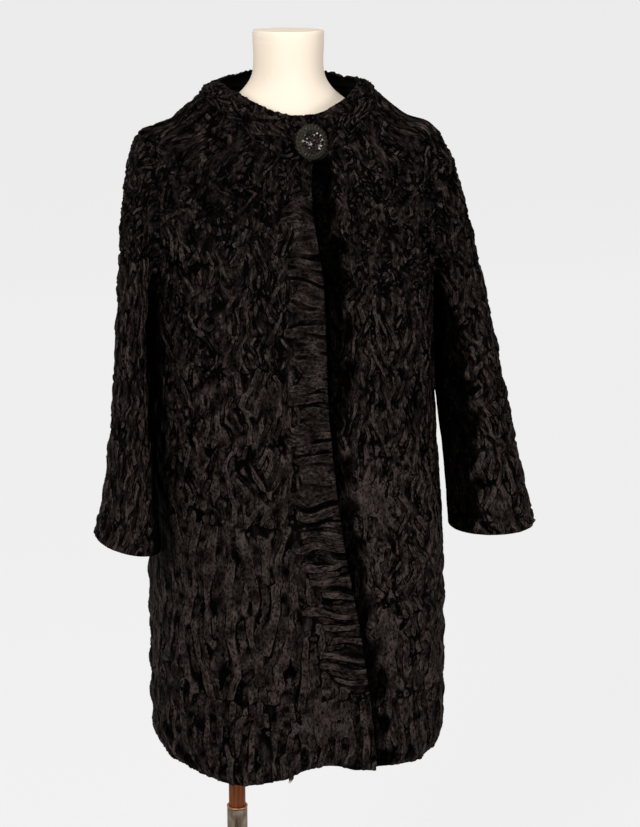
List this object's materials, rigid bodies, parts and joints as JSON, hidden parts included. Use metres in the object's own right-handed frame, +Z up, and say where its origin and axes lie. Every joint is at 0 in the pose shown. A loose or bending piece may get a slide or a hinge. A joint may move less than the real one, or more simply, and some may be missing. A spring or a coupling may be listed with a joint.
{
  "type": "fur coat on a dress form",
  "caption": "Straight knee-length fur coat with stand-away collar, worn by a limbless dress form on a height-adjustable round-footed stand.",
  "frame": {"origin": "on the floor, on the foot's flat underside, right below the centre of the dress form's neck", "axes": "+Z up along the pole, the coat's front faces -Y, +X is the wearer's left"},
  "size_m": [0.6205, 0.4624, 1.4901],
  "materials": {
    "fur": "short glossy wavy fur",
    "button": "glossy, faceted",
    "tape": "matte woven",
    "form_cloth": "matte linen",
    "wood": "satin varnish",
    "tube_metal": "dull, worn bronze tone",
    "knob": "black enamel",
    "foot": "black paint"
  },
  "bodies": {
    "stand": {"base": "foot", "height_tube": "tube_metal"},
    "clamp": {"clamp_knob": "knob"},
    "form": {"form": "form_cloth", "pole": "wood", "front_right": "fur", "front_left": "fur", "back": "fur", "sleeve_right": "fur", "sleeve_left": "fur", "collar": "fur", "button": "button", "hem_tape": "tape"}
  },
  "joints": [
    {"name": "height", "type": "slide", "parent": "stand", "child": "form", "axis": [0, 0, 1], "range_m": [-0.06, 0.12]},
    {"name": "clamp_turn", "type": "hinge", "parent": "stand", "child": "clamp", "pos_m": [-0.068, 0.06, 0.318], "axis": [-0.342, -0.9397, 0], "range_deg": [0, 360]}
  ]
}
